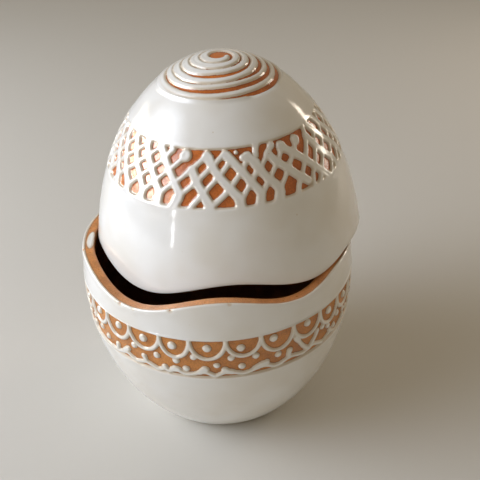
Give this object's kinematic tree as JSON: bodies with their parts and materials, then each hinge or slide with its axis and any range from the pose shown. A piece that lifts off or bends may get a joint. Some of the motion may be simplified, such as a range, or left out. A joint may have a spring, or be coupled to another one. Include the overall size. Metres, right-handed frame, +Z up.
{
  "type": "ceramic easter egg",
  "caption": "Hollow two-part glazed earthenware egg: a footed bowl and a lid cut apart along a wavy line, the lid resting askew, with trailed slip lattice, scallops and a coil.",
  "frame": {"origin": "centre of the bowl's flat foot, on the surface the egg stands on", "axes": "+Z up along the bowl's turning axis, +X to the right and -Y to the front, where the lid leaves its gap"},
  "size_m": [0.1552, 0.1607, 0.2044],
  "materials": {
    "slip_trailed_earthenware": "glossy white glazed slip over terracotta, with the clay bare under clear glaze in the bands, on the cut face and inside"
  },
  "bodies": {
    "root": {"bowl": "slip_trailed_earthenware", "lid": "slip_trailed_earthenware"}
  },
  "joints": []
}
